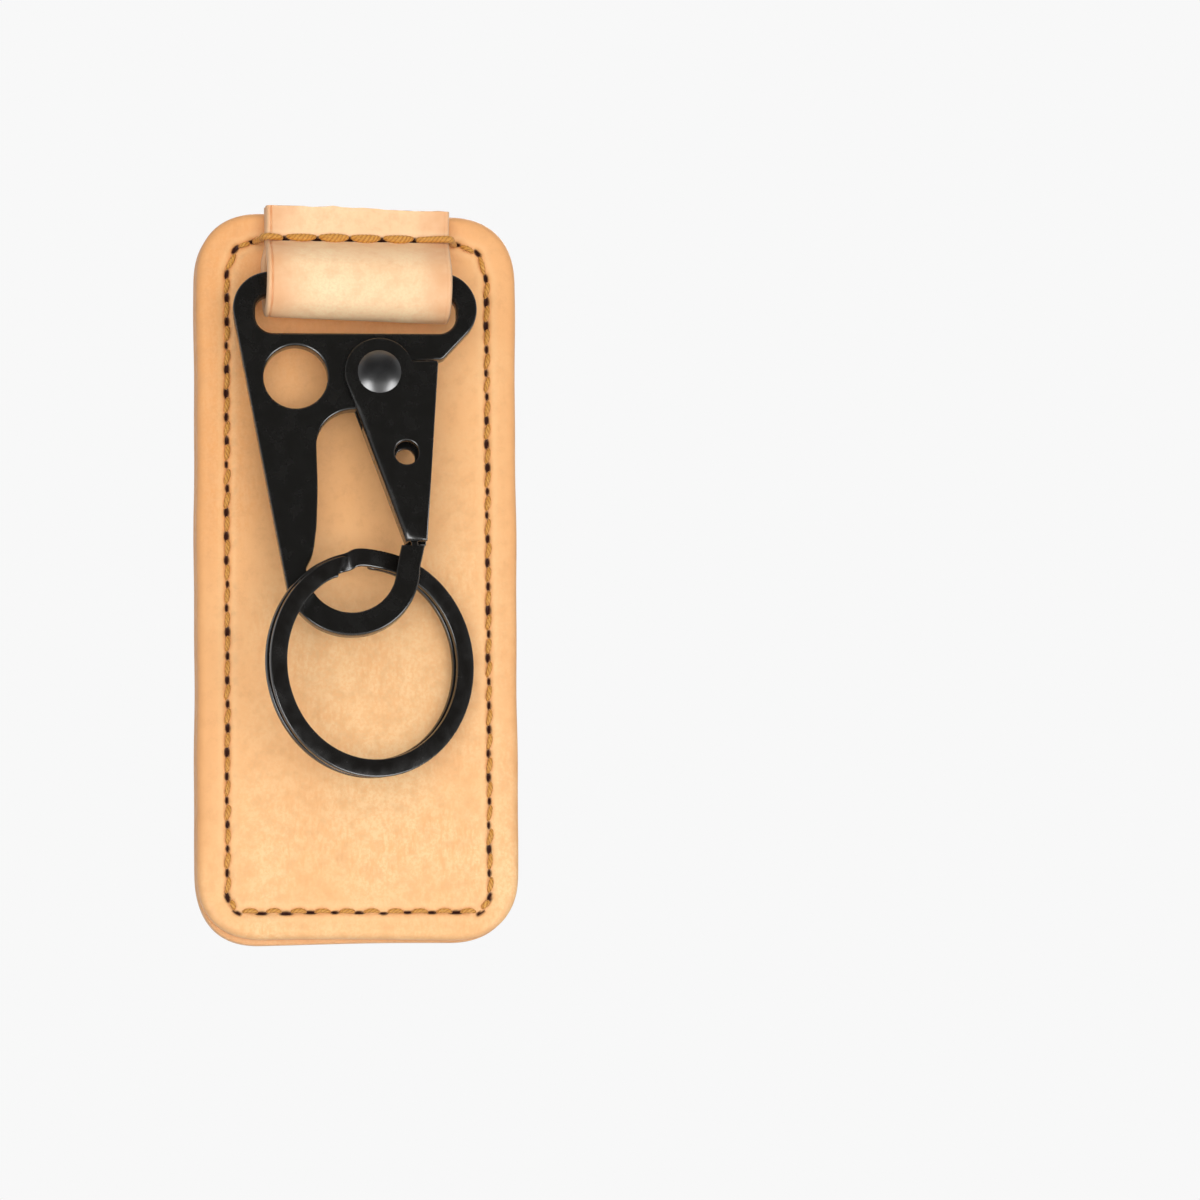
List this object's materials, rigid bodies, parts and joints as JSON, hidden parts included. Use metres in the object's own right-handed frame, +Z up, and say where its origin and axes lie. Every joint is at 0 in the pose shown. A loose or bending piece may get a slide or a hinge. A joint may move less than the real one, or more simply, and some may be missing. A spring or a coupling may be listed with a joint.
{
  "type": "key holder clip",
  "caption": "Leather key holder with a spring belt clip behind, and a strap loop in front that carries a snap hook with a sprung gate and a split ring.",
  "frame": {"origin": "under the belt clip's top bend, where a belt's top edge seats, at the middle of the clip's width", "axes": "+X to the wearer's left, which is the picture's right, -Y out of the front face, +Z up"},
  "size_m": [0.0429, 0.0254, 0.0981],
  "materials": {
    "pad_leather": "natural vegetable-tanned leather, smooth grain, burnished edges",
    "strap_leather": "natural leather strap, creased and lighter than the pad",
    "top_thread": "waxed thread, golden brown",
    "bobbin_thread": "waxed thread, pale beige",
    "hook_black": "satin black",
    "rivet_black": "glossy black dome",
    "ring_black": "satin black, bare at the ends",
    "clip_black": "satin black spring steel",
    "spring_steel": "drawn wire"
  },
  "bodies": {
    "pad": {"front_panel": "pad_leather", "back_panel": "pad_leather", "top_thread": "top_thread", "bobbin_thread": "bobbin_thread", "strap_anchor": "strap_leather", "belt_clip_base": "clip_black"},
    "loop": {"strap_loop": "strap_leather"},
    "hook": {"hook_frame": "hook_black", "gate_rivet": "rivet_black", "gate_spring": "spring_steel"},
    "gate": {"gate_lever": "hook_black"},
    "ring": {"split_ring": "ring_black"},
    "clip_leaf": {"belt_clip_leaf": "clip_black"}
  },
  "joints": [
    {"name": "loop_lift", "type": "hinge", "parent": "pad", "child": "loop", "pos_m": [0.0009, -0.0129, 0.00285], "axis": [-1, 0, 0], "range_deg": [0, 35]},
    {"name": "hook_swing", "type": "hinge", "parent": "loop", "child": "hook", "pos_m": [0.00115, -0.0143, -0.00315], "axis": [-0.9976, 0.0698, 0], "range_deg": [0, 145]},
    {"name": "gate_open", "type": "hinge", "parent": "hook", "child": "gate", "pos_m": [0.00323, -0.01541, -0.01531], "axis": [0.0695, 0.9945, -0.0785], "range_deg": [0, 22], "stiffness_Nm_per_rad": 0.01, "springref_deg": -22.92, "deforming": ["gate_spring"]},
    {"name": "ring_turn", "type": "hinge", "parent": "hook", "child": "ring", "pos_m": [0.00181, -0.01652, -0.05395], "axis": [-0.342, 0.9397, 0], "continuous": true},
    {"name": "clip_flex", "type": "hinge", "parent": "pad", "child": "clip_leaf", "pos_m": [0, 0.0028, -0.0018], "axis": [1, 0, 0], "range_deg": [0, 8], "stiffness_Nm_per_rad": 1, "springref_deg": -2.29}
  ]
}
